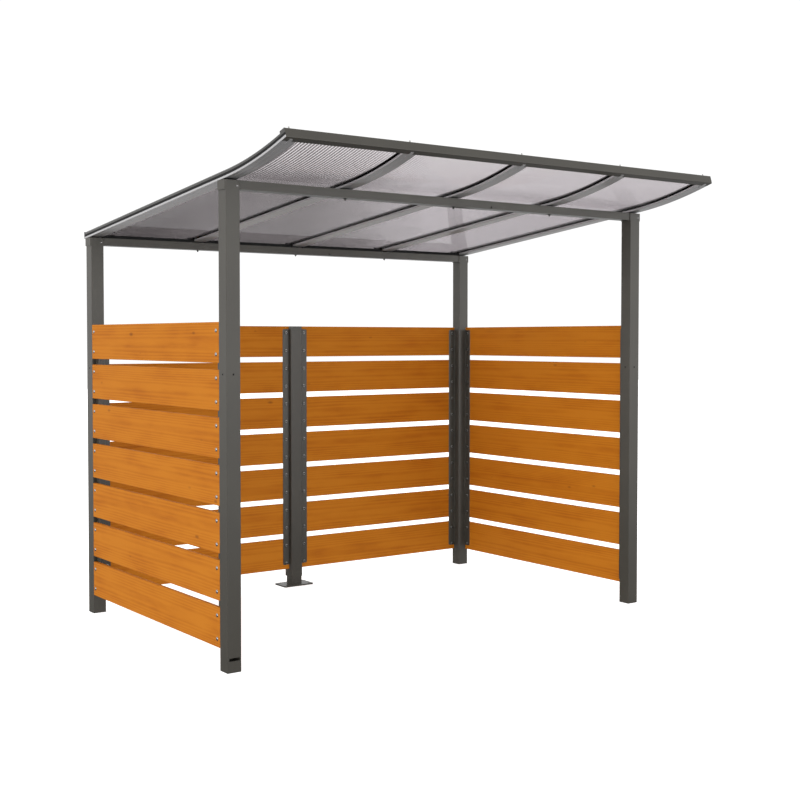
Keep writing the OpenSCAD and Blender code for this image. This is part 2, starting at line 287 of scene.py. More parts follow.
def smokyPolycarbonate():
    material, tree = newMaterial("smokyPolycarbonate")
    place = addNode(tree, "TexCoord").outputs["Object"]
    smoke = addNode(tree, "TexNoise", {"Scale": 1 / smokyWeb["cloud"], "Detail": 2.0},
                    {"Vector": place})
    along = addNode(tree, "LayerWeight", {"Blend": 0.5}).outputs["Facing"]
    depth = addNode(tree, "Math", {"operation": "MULTIPLY_ADD", 1: smokyWeb["cloudShare"]},
                    {0: smoke.outputs["Fac"], 2: along})
    tint = addNode(tree, "ValToRGB", {"stops": smokyWeb["stops"]}, {"Fac": depth.outputs[0]})
    surface = addNode(tree, "BsdfPrincipled",
                      {"Roughness": 0.0, "IOR": clearSkin["ior"], "Transmission Weight": 1.0},
                      {"Base Color": tint.outputs["Color"]})
    finishMaterial(tree, surface)
    return material


steel = powderCoated("powderCoatedSteel", powderCoat["onSteel"])
capSkin = powderCoated("powderCoatedAluminium", powderCoat["onAluminium"])
aluminium = anodisedAluminium()
rubber = plainFinish("extrudedRubber", dustyRubber)
blackened = plainFinish("blackenedSteel", blackOxide)
zinc = plainFinish("zincPlatedSteel", dullZinc)
polished = plainFinish("polishedZinc", brightZinc)
timber = oiledPine()
clearSheet = clearPolycarbonate()
smokySheet = smokyPolycarbonate()
print("materials made")


# surfaces; beside a rounded corner, a support point stands on the flat, which then shades flat

support = 0.4   # how far it stands past the corner, as a share of the corner's radius


def cornerArcs(perCorner):
    # angles round four quarter circles, with each arc's ends doubled; slide is -1, 0, ..., 0, 1 for
    # each arc, and moves the doubled points along the tangent to become the support points
    turn = np.linspace(0, np.pi / 2, perCorner)
    turn = np.concatenate([turn[:1], turn, turn[-1:]])
    angles = (turn[None, :] + np.arange(4)[:, None] * np.pi / 2).ravel()
    slide = np.tile(np.concatenate([[-1.0], np.zeros(perCorner), [1.0]]), 4)
    signs = np.repeat(np.array([(1, 1), (-1, 1), (-1, -1), (1, -1)]), perCorner + 2, axis=0)
    return angles, slide, signs


def roundedOutline(width, height, radius, perCorner=5, stops=()):
    # corner centre + radius (cos a, sin a) + slide support radius (-sin a, cos a), anticlockwise,
    # with extra points on the side below
    angles, slide, signs = cornerArcs(perCorner)
    slide = support * slide
    x = signs[:, 0] * (width / 2 - radius) + radius * (np.cos(angles) - slide * np.sin(angles))
    y = signs[:, 1] * (height / 2 - radius) + radius * (np.sin(angles) + slide * np.cos(angles))
    outline = np.stack([x, y], 1)
    lower = np.array([(stop, -height / 2) for stop in stops]).reshape(-1, 2)
    first = 3 * (perCorner + 2)
    return np.concatenate([outline[:first], lower, outline[first:]])


def carry(outline, path, across, up):
    # point (i, j) is path point i, plus outline j's first number along across i, plus its second
    # along up i
    sideways = outline[None, :, :1] * across[:, None]
    return path[:, None] + sideways + outline[None, :, 1:] * up[:, None]


def skinFaces(rows, columns, wrap=True):
    # a square between each pair of neighbouring rows and columns of a grid
    steps = np.arange(columns if wrap else columns - 1)
    i, j = np.meshgrid(np.arange(rows - 1), steps, indexing="ij")
    corner, beside = i * columns + j, i * columns + (j + 1) % columns
    return np.stack([corner, beside, beside + columns, corner + columns], -1).reshape(-1, 4)


def closedFaces(rows, columns):
    # the wrapped skin, and one flat face over each end
    last = (rows - 1) * columns
    ends = [list(range(columns))[::-1], list(range(last, last + columns))]
    return skinFaces(rows, columns).tolist() + ends


def join(parts):
    # points one after the other, with each part's faces counted on from the points before it
    clouds = [np.reshape(points, (-1, 3)) for points, _ in parts]
    starts = np.cumsum([0] + [len(points) for points in clouds])
    faces = [[int(k + start) for k in face]
             for (_, own), start in zip(parts, starts) for face in own]
    return np.concatenate(clouds), faces


def straight(start, end, across, up, outline):
    # an outline carried from start to end, with flat ends
    path = np.array([start, end], float)
    points = carry(outline, path, np.array([across] * 2, float), np.array([up] * 2, float))
    return points, closedFaces(2, len(outline))


def addPiece(name, shape, materials, stands=(), sharp=35):
    # the shape as a piece of the body, smooth except at edges sharper than so many degrees;
    # it takes the place of the nodes in stands
    points, faces = shape
    mesh = bpy.data.meshes.new(name)
    mesh.from_pydata(np.reshape(points, (-1, 3)).tolist(), [], faces)
    for material in materials:
        mesh.materials.append(material)
    mesh.shade_smooth()
    mesh.set_sharp_from_angle(angle=np.radians(sharp))
    mesh.update()
    piece = bpy.data.objects.new(name, mesh)
    bpy.context.collection.objects.link(piece)
    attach(piece, "root")
    if stands:
        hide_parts(*stands)
    return piece


def thicken(piece, thickness):
    # the wall grows inwards from the surface, and the surface's free edges stay sharp
    mesh = piece.data
    edgeOfLoop = np.empty(len(mesh.loops), np.int32)
    mesh.loops.foreach_get("edge_index", edgeOfLoop)
    sharp = np.empty(len(mesh.edges), bool)
    mesh.edges.foreach_get("use_edge_sharp", sharp)
    free = np.bincount(edgeOfLoop, minlength=len(mesh.edges)) == 1
    mesh.edges.foreach_set("use_edge_sharp", sharp | free)
    wall = piece.modifiers.new("wall", "SOLIDIFY")
    wall.thickness = thickness
    wall.offset = -1
    wall.use_even_offset = True


def corners(node):
    low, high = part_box(node)
    return np.array(low), np.array(high)


# posts: square tubes with rounded corners

cornerPosts = ("post_front_left", "post_front_right", "post_back_left", "post_back_right")
post = {"radius": 2.5 * mm, "wall": 3 * mm}
footSlot = {"width": 52 * mm, "low": 52 * mm, "high": 66 * mm}


def postTube(node, rowHeights=(), stops=()):
    # a rounded square carried straight up, with rows at the slot's heights
    low, high = corners(node)
    middle = (low + high) / 2
    heights = np.array([low[2], *rowHeights, high[2]])
    line = np.tile(middle, (len(heights), 1))
    line[:, 2] = heights
    outline = roundedOutline(high[0] - low[0], high[1] - low[1], post["radius"], stops=stops)
    across = np.tile((1.0, 0, 0), (len(heights), 1))
    up = np.tile((0, 1.0, 0), (len(heights), 1))
    return carry(outline, line, across, up), skinFaces(len(heights), len(outline))


def makePosts():
    half = footSlot["width"] / 2
    for node in (*cornerPosts, "middle_post"):
        slotted = node == "post_front_left"
        points, faces = postTube(node, (footSlot["low"], footSlot["high"]) if slotted else (),
                                 (-half, half) if slotted else ())
        if slotted:
            # the slot is the one face between its two stops and its two heights
            centre = points.reshape(-1, 3)[faces].mean(1)
            low, high = corners(node)
            front = np.isclose(centre[:, 1], low[1], atol=0.1 * mm)
            across = np.isclose(centre[:, 0], (low[0] + high[0]) / 2, atol=1 * mm)
            inside = (centre[:, 2] > footSlot["low"]) & (centre[:, 2] < footSlot["high"])
            faces = faces[~(front & across & inside)]
        tube = addPiece(node + "_tube", (points, faces.tolist()), [steel], [node])
        thicken(tube, post["wall"])


makePosts()
print("posts made")


# brackets: folded sheets that hold the boards

bracket = {"thickness": 3 * mm, "bend": 4 * mm, "corner": 8 * mm, "hatCorner": 1 * mm}


def foldedSheet(stations, low, high, bend, corner, perBend=4):
    # a line through the stations, each inner station rounded by an arc that touches both sides,
    # carried upwards; near its free ends the sheet is cut back along a quarter circle
    stations = np.array(stations, float)
    line = [stations[0]]
    for before, here, after in zip(stations[:-2], stations[1:-1], stations[2:]):
        towards = (before - here) / np.linalg.norm(before - here)
        away = (after - here) / np.linalg.norm(after - here)
        centre = here + bend * (towards + away)
        turn = np.linspace(0, np.pi / 2, perBend)[:, None]
        line.append(here + towards * (1 + support) * bend)
        line.extend(centre - bend * (away * np.cos(turn) + towards * np.sin(turn)))
        line.append(here + away * (1 + support) * bend)
    line.append(stations[-1])
    line = np.array(line)
    # extra points near both free ends, where the corners are rounded
    steps = corner * (1 - np.cos(np.linspace(0, np.pi / 2, 5)))
    first = (line[1] - line[0]) / np.linalg.norm(line[1] - line[0])
    last = (line[-2] - line[-1]) / np.linalg.norm(line[-2] - line[-1])
    line = np.concatenate([line[0] + first * steps[:, None], line[1:-1],
                           line[-1] + last * steps[::-1, None]])
    run = np.concatenate([[0], np.cumsum(np.linalg.norm(np.diff(line, axis=0), axis=1))])
    edge = np.minimum(run, run[-1] - run)
    drop = corner - np.sqrt(np.maximum(corner ** 2 - (corner - edge) ** 2, 0))
    cut = np.where(edge < corner, drop, 0)
    share = np.linspace(0, 1, 3)[:, None]
    heights = (low + cut) * (1 - share) + (high - cut) * share
    points = np.stack([np.broadcast_to(line[:, 0], heights.shape),
                       np.broadcast_to(line[:, 1], heights.shape), heights], -1)
    return points, skinFaces(3, len(line), wrap=False)


def mirrored(stations):
    # the same line on the other side, run backwards so that its outer face stays outside
    return [(-x, y) for x, y in stations][::-1]


def makeBrackets():
    # each line starts at the board, follows the post's faces and has its outer side on them
    boardFront = corners("boards_back_right")[0][1]
    for place in ("front", "back"):
        low, high = corners("bracket_" + place + "_right")
        postLow = corners("post_" + place + "_right")[0]
        if place == "front":
            stations = [(low[0], low[1]), (high[0], low[1]), (high[0], high[1])]
        else:
            stations = [(high[0], low[1]), (high[0], postLow[1]), (postLow[0], postLow[1]),
                        (postLow[0], boardFront), (low[0], boardFront)]
        for side, line in (("right", stations), ("left", mirrored(stations))):
            node = "bracket_" + place + "_" + side
            points, faces = foldedSheet(line, low[2], high[2], bracket["bend"], bracket["corner"])
            piece = addPiece(node + "_fold", (points, faces.tolist()), [steel],
                             [node])
            thicken(piece, bracket["thickness"])


def makeMiddleBracket():
    # a hat around the post, and a flange welded along each of its sides
    low, high = corners("middle_bracket")
    front = corners("boards_back_right")[0][1] - bracket["thickness"]
    half = corners("middle_post")[1][0] + bracket["thickness"]
    hat = foldedSheet([(-half, high[1]), (-half, low[1]), (half, low[1]), (half, high[1])],
                      low[2], high[2], bracket["bend"], bracket["hatCorner"])
    flangeLow, flangeHigh = corners("bracket_back_right")
    plates = []
    for side in (-1, 1):
        ends = [(side * half, front), (side * high[0], front)][::side]
        plates.append(foldedSheet(ends, flangeLow[2], flangeHigh[2], 0, bracket["corner"]))
    points, faces = join([(shape[0], shape[1].tolist()) for shape in [hat] + plates])
    piece = addPiece("middle_bracket_hat", (points, faces), [steel],
                     ["middle_bracket"])
    thicken(piece, bracket["thickness"])


makeMiddleBracket()
makeBrackets()
print("brackets made")


# boards

board = {"radius": 2.5 * mm, "count": 7, "height": 182 * mm, "seed": 11,
         "cut": ((0, -0.03, -0.02), (60, 0.03, 0.02))}   # where in the trunk a board lies, metres


def plank(size):
    # a rounded outline whose corners shrink along a quarter circle towards both ends; rows run
    # along the board, and the outline lies in its height and thickness
    along, height, thickness = size
    radius = board["radius"]
    turn = np.linspace(0, np.pi / 2, 4)
    near = np.append(radius * (1 - np.cos(turn)), (1 + support) * radius)
    places = np.concatenate([near, along - near[::-1]])
    reach = radius * np.sin(np.append(turn, np.pi / 2))
    reach = np.concatenate([reach, reach[::-1]])[:, None]
    angles, slide, signs = cornerArcs(4)
    shift = support * radius * slide
    rise = signs[:, 0] * (height / 2 - radius) + reach * np.cos(angles) - shift * np.sin(angles)
    depth = signs[:, 1] * (thickness / 2 - radius) + reach * np.sin(angles) + shift * np.cos(angles)
    points = np.stack([np.broadcast_to(places[:, None], rise.shape), rise, depth], -1)
    return points, closedFaces(len(places), len(angles))


def makeBoards():
    chance = np.random.default_rng(board["seed"])
    for node in ("boards_left", "boards_right", "boards_back_left", "boards_back_right"):
        low, high = corners(node)
        size = high - low
        lengthways = 0 if size[0] > size[1] else 1
        pitch = (size[2] - board["height"]) / (board["count"] - 1)
        local, faces = plank((size[lengthways], board["height"], size[1 - lengthways]))
        local = local.reshape(-1, 3)
        parts, grain = [], []
        for number in range(board["count"]):
            middle = (low + high) / 2
            middle[lengthways] = low[lengthways]
            middle[2] = low[2] + board["height"] / 2 + number * pitch
            place = np.zeros_like(local)
            place[:, lengthways] = local[:, 0]
            place[:, 2] = local[:, 1]
            # a right-handed set of axes keeps the faces outwards
            place[:, 1 - lengthways] = local[:, 2] * (-1 if lengthways == 0 else 1)
            parts.append((place + middle, faces))
            grain.append(local + chance.uniform(*board["cut"]))
        piece = addPiece(node + "_planks", join(parts), [timber], [node])
        store = piece.data.attributes.new("grainPlace", "FLOAT_VECTOR", "POINT")
        store.data.foreach_set("vector", np.concatenate(grain).ravel())
        # as in the photograph, the boards' orange stays out of the reflections in steel and sheets
        piece.visible_glossy = False


makeBoards()
print("boards made")


# roof profiles follow one path: straight up the slope, then round the curve

roof = {"radius": 2340 * mm, "steps": 18,   # of the curve over the front
        "rafter": 10 * mm, "seal": 1 * mm, "sheet": 10 * mm, "cap": 15 * mm}   # layers' heights


def roofPath():
    # the underside's line and its upward normals, from the back end to the front tip: a straight
    # slope through the posts' tops, then centre - radius (sin a, cos a) from the slope's angle on
    frontLow, frontHigh = corners("post_front_right")
    backHigh = corners("post_back_right")[1]
    rafterLow, rafterHigh = corners("rafter_3")
    slope = np.arctan2(frontHigh[2] - backHigh[2], backHigh[1] - frontHigh[1])
    cornerY = frontLow[1]
    cornerZ = frontHigh[2] + (frontHigh[1] - frontLow[1]) * np.tan(slope)
    centreY = cornerY + roof["radius"] * np.sin(slope)
    centreZ = cornerZ + roof["radius"] * np.cos(slope)
    sweep = np.arcsin((centreY - rafterLow[1]) / roof["radius"]) - slope
    run = (rafterHigh[1] - cornerY - roof["rafter"] * np.sin(slope)) / np.cos(slope)
    angle = slope + np.concatenate([[0], np.linspace(0, sweep, roof["steps"])])
    back = np.concatenate([[run], np.zeros(roof["steps"])])
    y = centreY - roof["radius"] * np.sin(angle) + back * np.cos(slope)
    z = centreZ - roof["radius"] * np.cos(angle) - back * np.sin(slope)
    line = np.stack([np.zeros_like(y), y, z], 1)
    return line, np.stack([np.zeros_like(y), np.sin(angle), np.cos(angle)], 1)


roofLine, roofUp = roofPath()


def roofBar(outline, trimBack=0.0):
    # an outline in X and in height above the rafters' underside, carried along the roof's path
    line = roofLine.copy()
    towards = (line[1] - line[0]) / np.linalg.norm(line[1] - line[0])
    line[0] = line[0] + towards * trimBack
    across = np.tile((1.0, 0, 0), (len(line), 1))
    return carry(np.array(outline), line, across, roofUp), closedFaces(len(line), len(outline))


rafterShape = {"groove": 1.2 * mm, "grooveWidth": 4 * mm, "groovePlace": 14 * mm,
               "edge": 1.5 * mm, "ease": 0.45 * mm}


def rafterOutline(middle, width):
    # a flat bar with eased edges and two grooves along its underside, anticlockwise from the
    # lower left
    edge, ease, half, top = rafterShape["edge"], rafterShape["ease"], width / 2, roof["rafter"]
    deep, wide = rafterShape["groove"], rafterShape["grooveWidth"] / 2
    outline = [(-half, edge), (-half + ease, ease), (-half + edge, 0)]
    for side in (-rafterShape["groovePlace"], rafterShape["groovePlace"]):
        outline += [(side - wide, 0), (side - wide + deep / 2, deep),
                    (side + wide - deep / 2, deep), (side + wide, 0)]
    outline += [(half - edge, 0), (half - ease, ease), (half, edge), (half, top), (-half, top)]
    return np.array(outline) + (middle, 0)


capShape = {"bevel": 6 * mm, "skirt": 3 * mm, "crown": 13 * mm, "ease": 0.4 * mm, "blend": 1 * mm,
            "crownBlend": 1.5 * mm, "channel": 9 * mm, "channelDepth": 2.5 * mm}


def capOutline(middle, width, outer):
    # a cover strip: low skirts, long shoulders and a sunk channel along the crown for its screws;
    # outer is 1 or -1 where that side is the roof's edge and stands tall with a short bevel, else 0
    base = roof["rafter"] + 2 * roof["seal"] + roof["sheet"]
    top, half, bevel = base + roof["cap"], width / 2, capShape["bevel"]
    skirt, crown = base + capShape["skirt"], capShape["crown"]
    ease, blend = capShape["ease"], capShape["blend"]
    wide, deep = capShape["channel"] / 2, capShape["channelDepth"]
    tall = [(half, base), (half, top - bevel - blend), (half - ease, top - bevel),
            (half - bevel, top - ease), (half - bevel - capShape["crownBlend"], top)]
    low = [(half, base), (half, skirt), (half - 2 * ease, skirt + 2 * ease),
           (crown + blend, top - ease), (crown, top)]
    channel = [(wide + blend, top), (wide, top - deep)]
    right = (tall if outer > 0 else low) + channel
    left = [(-x, z) for x, z in (tall if outer < 0 else low) + channel][::-1]
    return np.array(right + left) + (middle, 0)


def makeRoofBars():
    for number in range(1, 6):
        low, high = corners("rafter_%d" % number)
        middle, width = (low[0] + high[0]) / 2, high[0] - low[0]
        addPiece("rafter_%d_profile" % number, roofBar(rafterOutline(middle, width)), [aluminium],
                 ["rafter_%d" % number], sharp=18)
        outer = {1: -1, 5: 1}.get(number, 0)
        addPiece("cap_%d_profile" % number, roofBar(capOutline(middle, width, outer)), [capSkin],
                 ["cap_%d" % number], sharp=18)


makeRoofBars()
print("rafters and caps made")


# roof sheets: two skins with webs between them

sheet = {"skin": 1.5 * mm, "webPitch": 17 * mm, "web": 0.9 * mm, "gap": 0.1 * mm, "trim": 1.5 * mm}


def makeSheets():
    # rectangles carried along the roof: a skin below and above, and upright webs a pitch apart
    base = roof["rafter"] + roof["seal"]
    top = base + roof["sheet"]
    for number in range(1, 5):
        node = "roof_sheet_%d" % number
        low, high = corners(node)
        skins = [(low[0], base, high[0], base + sheet["skin"]),
                 (low[0], top - sheet["skin"], high[0], top)]
        count = int(np.floor((high[0] - low[0]) / sheet["webPitch"]))
        first = (low[0] + high[0]) / 2 - (count - 1) / 2 * sheet["webPitch"]
        half, inset = sheet["web"] / 2, sheet["skin"] + sheet["gap"]
        webs = [(x - half, base + inset, x + half, top - inset)
                for x in first + np.arange(count) * sheet["webPitch"]]
        shapes = [roofBar([(a, b), (c, b), (c, d), (a, d)], sheet["trim"])
                  for a, b, c, d in skins + webs]
        piece = addPiece(node + "_twinwall", join(shapes), [clearSheet, smokySheet],
                         [node])
        counts = [len(shape[1]) for shape in shapes]
        kinds = np.repeat([0] * len(skins) + [1] * len(webs), counts).astype(np.int32)
        piece.data.polygons.foreach_set("material_index", kinds)


makeSheets()
print("roof sheets made")


# fascia: a closed tube across the rafters' front ends

fasciaShape = {"radius": 3 * mm, "depth": 38 * mm, "height": 41.5 * mm, "cover": 2 * mm,
               "coverRadius": 0.5 * mm}


def fasciaBar(start, end, low, high, radius):
    # a rounded bar along X from start to end, over the fascia's depth, between two heights above
    # the underside
    up = roofUp[-1]
    towards = np.cross((1.0, 0, 0), up)
    middle = roofLine[-1] + towards * fasciaShape["depth"] / 2 + up * (low + high) / 2
    first, last = middle.copy(), middle.copy()
    first[0], last[0] = start, end
    outline = roundedOutline(fasciaShape["depth"], high - low, radius, perCorner=4)
    return straight(first, last, -towards, up, outline)


def makeFascia():
    # the tube, with the roof edge's three layers carried on over both of its ends
    outer = corners("fascia")[1][0]
    inner = outer - fasciaShape["cover"]
    tube = fasciaBar(-inner, inner, 0, fasciaShape["height"], fasciaShape["radius"])
    addPiece("fascia_tube", tube, [steel], ["fascia"])
    seal = roof["rafter"] + 2 * roof["seal"] + roof["sheet"]
    layers = (("rafter_ends", 0, roof["rafter"], aluminium, "rafter_aluminium"),
              ("seal_ends", roof["rafter"], seal, rubber, "seal_rubber"),
              ("cap_ends", seal, fasciaShape["height"], capSkin, "cap_aluminium"))
    for name, bottom, top, material, slot in layers:
        ends = [fasciaBar(start, end, bottom, top, fasciaShape["coverRadius"])
                for start, end in ((-outer, -inner), (inner, outer))]
        addPiece("fascia_" + name, join(ends), [material])


makeFascia()
print("fascia made")


# fasteners: turned shapes, copied to their places

def turned(profile, sides):
    # (radius, height) pairs turned once round the height; the ends lie on the axis or are flat
    angles = np.arange(sides) * 2 * np.pi / sides
    profile = np.array(profile, float)
    points = np.stack([profile[:, :1] * np.cos(angles), profile[:, :1] * np.sin(angles),
                       np.broadcast_to(profile[:, 1:], (len(profile), sides))], -1)
    return points.reshape(-1, 3), closedFaces(len(profile), sides)


def copies(shape, spots, direction):
    # the shape stands on each spot, with its height along the direction
    up = np.array(direction, float)
    across = np.cross(up, (0, 0, 1.0)) if abs(up[2]) < 0.9 else np.array((1.0, 0, 0))
    points = shape[0] @ np.stack([across, np.cross(up, across), up])
    return join([(points + spot, shape[1]) for spot in np.array(spots, float)])


bolt = {"head": 9 * mm, "rise": 4.2 * mm, "nut": 6.5 * mm, "nutHeight": 6 * mm,
        "washer": 8.5 * mm, "washerHeight": 1.4 * mm, "foot": 0.6 * mm, "chamfer": 0.7 * mm,
        "end": 1.2 * mm, "endChamfer": 0.7 * mm,   # how far the bolt's end stands past its nut
        "fromPost": 26 * mm, "fromEdge": 38 * mm, "fromMiddle": 62 * mm}
dome = {"collar": 0.18, "shoulder": 0.96, "flat": 0.1}   # shares of the rise, and of the radius
# shares of the nut's radius
nutShape = {"bore": 0.7, "foot": 0.9, "crown": 0.86, "bolt": 0.56, "boltTip": 0.46}


def domeHead(radius, rise):
    # a flat collar, then a quarter of an ellipse up to the crown
    collar, shoulder = dome["collar"] * rise, dome["shoulder"] * radius
    turn = np.linspace(0, np.pi / 2, 5)[:-1]
    crown = [(shoulder * np.cos(a), collar + (rise - collar) * np.sin(a)) for a in turn]
    return turned([(radius, 0), (radius, collar)] + crown + [(dome["flat"] * radius, rise)], 12)


def hexNut(radius, height):
    # a washer with a chamfered hexagon on it, and the bolt's end above them
    bore, foot, crown, shank, tip = (radius * share for share in nutShape.values())
    base, wide = bolt["washerHeight"], bolt["washer"]
    top = base + height
    end = top + bolt["end"]
    washer = turned([(wide, 0), (wide, base), (bore, base)], 12)
    body = turned([(foot, base), (radius, base + bolt["foot"]), (radius, top - bolt["chamfer"]),
                   (crown, top)], 6)
    stub = turned([(shank, base), (shank, end), (tip, end + bolt["endChamfer"])], 8)
    return join([washer, body]), stub


def makeBoardBolts():
    leftLow, leftHigh = corners("boards_left")
    backLow, backHigh = corners("boards_back_right")
    frontPost, backPost = corners("post_front_right"), corners("post_back_right")
    pitch = (leftHigh[2] - leftLow[2] - board["height"]) / (board["count"] - 1)
    base = leftLow[2] + np.arange(board["count"]) * pitch
    heights = np.concatenate([base + bolt["fromEdge"], base + board["height"] - bolt["fromEdge"]])
    sideY = [frontPost[1][1] + bolt["fromPost"], backPost[0][1] - bolt["fromPost"]]
    backX = [bolt["fromMiddle"], backPost[0][0] - bolt["fromPost"]]
    backX += [-x for x in backX]
    wall = bracket["thickness"]
    head = domeHead(bolt["head"], bolt["rise"])
    nut, end = hexNut(bolt["nut"], bolt["nutHeight"])
    heads, nuts, ends = [], [], []
    for side in (-1, 1):
        outside = side * backPost[1][0]
        inside = outside - side * (leftHigh[0] - leftLow[0] + wall)
        heads.append(copies(head, [(outside, y, z) for y in sideY for z in heights], (side, 0, 0)))
        spots = [(inside, y, z) for y in sideY for z in heights]
        nuts.append(copies(nut, spots, (-side, 0, 0)))
        ends.append(copies(end, spots, (-side, 0, 0)))
    heads.append(copies(head, [(x, backHigh[1], z) for x in backX for z in heights], (0, 1, 0)))
    spots = [(x, backLow[1] - wall, z) for x in backX for z in heights]
    nuts.append(copies(nut, spots, (0, -1, 0)))
    ends.append(copies(end, spots, (0, -1, 0)))
    addPiece("board_bolt_heads", join(heads), [polished], sharp=50)
    addPiece("board_bolt_nuts", join(nuts), [zinc], sharp=30)
    addPiece("board_bolt_ends", join(ends), [blackened], sharp=30)


screw = {"head": 4.5 * mm, "rise": 2 * mm, "upper": 1325 * mm, "lower": 335 * mm,
         "plateHead": 4.5 * mm, "plateRise": 2.5 * mm, "plateIn": 12 * mm, "plateDown": 26 * mm}


def makePostScrews():
    # screws in the front and left faces of the posts, at the back left in the right face with one
    # more in the left, and one in the front edge of each head plate
    spots = {(-1, 0, 0): [], (0, -1, 0): [], (1, 0, 0): []}
    plateSpots = []
    for node in cornerPosts:
        low, high = corners(node)
        middle = (low + high) / 2
        place = "front" if "front" in node else "back"
        top = corners(place + "_header")[1][2]
        plateSpots.append((high[0] - screw["plateIn"], low[1], top - screw["plateDown"]))
        heights = [screw["upper"]] if place == "front" else [screw["upper"], screw["lower"]]
        for z in heights:
            if node != "post_back_left":
                spots[(-1, 0, 0)].append((low[0], middle[1], z))
            else:
                spots[(1, 0, 0)].append((high[0], middle[1], z))
            spots[(0, -1, 0)].append((middle[0], low[1], z))
    low, high = corners("post_back_left")
    spots[(-1, 0, 0)].append((low[0], (low[1] + high[1]) / 2, screw["upper"]))
    head = domeHead(screw["head"], screw["rise"])
    addPiece("post_screws", join([copies(head, places, way) for way, places in spots.items()]),
             [blackened], sharp=50)
    head = domeHead(screw["plateHead"], screw["plateRise"])
    addPiece("head_plate_screws", copies(head, plateSpots, (0, -1, 0)), [polished],
             sharp=50)


headerBolt = {"radius": 5 * mm, "height": 7 * mm, "tube": 40 * mm, "plateProud": 3 * mm}
rivet = {"radius": 5.5 * mm, "rise": 1.8 * mm, "fromMiddle": 224 * mm, "fromBottom": 9 * mm}


def makeHeaderBolts():
    # nuts with the rafters' bolt ends, under both headers
    spots = []
    for node in ("front_header", "back_header"):
        low, high = corners(node)
        for number in (2, 3, 4):
            rafterLow, rafterHigh = corners("rafter_%d" % number)
            spots.append(((rafterLow[0] + rafterHigh[0]) / 2, (low[1] + high[1]) / 2,
                          high[2] - headerBolt["tube"]))
    nut = join(hexNut(headerBolt["radius"], headerBolt["height"]))
    addPiece("header_bolt_ends", copies(nut, spots, (0, 0, -1)), [blackened],
             sharp=30)


def makeHeaderRivets():
    # a dark rivet closes the small hole in the front face of each header
    spots = []
    for node in ("front_header", "back_header"):
        low, high = corners(node)
        middle = (low[0] + high[0]) / 2
        # the end plates stand proud of the tube's front face
        spots.append((middle + rivet["fromMiddle"], low[1] + headerBolt["plateProud"],
                      high[2] - headerBolt["tube"] + rivet["fromBottom"]))
    head = domeHead(rivet["radius"], rivet["rise"])
    addPiece("header_rivets", copies(head, spots, (0, -1, 0)), [blackened],
             sharp=50)


makeBoardBolts()
makePostScrews()
makeHeaderBolts()
makeHeaderRivets()
print("fasteners made")


# small trims

def extrudedAlongX(section, start, end):
    # a (y, z) outline, anticlockwise seen from +X, carried from start to end
    return straight((start, 0, 0), (end, 0, 0), (0, 1.0, 0), (0, 0, 1.0), np.array(section))


foam = {"set": 2 * mm, "depth": 24 * mm, "squash": 0.4 * mm, "gap": 0.5 * mm}


def makeClosureStrips():
    # foam between the back header and the sheets, with its top cut to the roof's slope
    low, high = corners("back_header")
    run = roofLine[1] - roofLine[0]
    lift = roofLine[0] + roofUp[0] * (roof["rafter"] + roof["seal"])
    near = low[1] + headerBolt["plateProud"] + foam["set"]
    far = near + foam["depth"]
    # the sheets' lower face at both, on a line through lift
    tops = lift[2] + (np.array([near, far]) - lift[1]) * run[2] / run[1] - foam["squash"]
    section = [(near, high[2]), (far, high[2]), (far, tops[1]), (near, tops[0])]
    strips = []
    for number in range(1, 5):
        left = corners("rafter_%d" % number)[1][0] + foam["gap"]
        right = corners("rafter_%d" % (number + 1))[0][0] - foam["gap"]
        strips.append(extrudedAlongX(section, left, right))
    addPiece("closure_strips", join(strips), [rubber])


lip = {"height": 3 * mm, "proud": 1.6 * mm, "inside": 1 * mm}


def makeSlotLip():
    # the rolled edge over the slot at the foot of the front left post: half an ellipse, carried
    # along the slot
    low, high = corners("post_front_left")
    middle, half = (low[0] + high[0]) / 2, footSlot["width"] / 2
    face, base = low[1], footSlot["high"]
    turn = np.linspace(-np.pi / 2, np.pi / 2, 7)[::-1]
    section = [(face - lip["proud"] * np.cos(a), base + lip["height"] * (0.5 + 0.5 * np.sin(a)))
               for a in turn]
    section += [(face + lip["inside"], base), (face + lip["inside"], base + lip["height"])]
    addPiece("foot_slot_lip", extrudedAlongX(section, middle - half, middle + half), [steel])


makeClosureStrips()
makeSlotLip()
print("trims made")


# nodes that show as they are get their finishes

finishes = {
    "middle_base_plate": steel, "front_header": steel, "back_header": steel,
    "head_plate_front_left": steel, "head_plate_front_right": steel,
    "head_plate_back_left": steel, "head_plate_back_right": steel,
    "fascia_clips": aluminium, "roof_studs": zinc, "sheet_end_trim": rubber, "end_plugs": rubber,
    **{"seal_%d" % number: rubber for number in range(1, 6)},
}

for node, finish in finishes.items():
    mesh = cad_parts[node].data
    mesh.materials.clear()
    mesh.materials.append(finish)
print("other nodes finished")


# floor and light

studio = {
    "floor": 60.0,             # metres across
    "floorHeight": -0.5 * mm,
    "floorColour": "#f4f4f4",
    "floorGlow": 0.75,         # keeps the floor white to the camera
    "mat": 40.0,               # metres from the middle to where the mat has faded out
    "matHeight": -1 * mm,
    "backdrop": 1.05,          # what the camera sees behind the object
    "sky": 0.85,               # light from above, and from below in place of the floor's own
    "ground": 0.5,
    "horizon": (-0.75, -0.2),  # a direction's height where ground ends and where sky is full
    # soft lights: strength, direction, and the cosines where each starts and where it is full
    "lights": (
        (1.05, (0.5, -0.86, 0.1), 0.87, 0.975),    # from the front right
        (2.0, (-0.97, -0.12, 0.2), 0.86, 0.98),    # from the left
        (0.9, (-0.8, -0.6, 0.1), 0.85, 0.97),      # from the front left
    ),
}


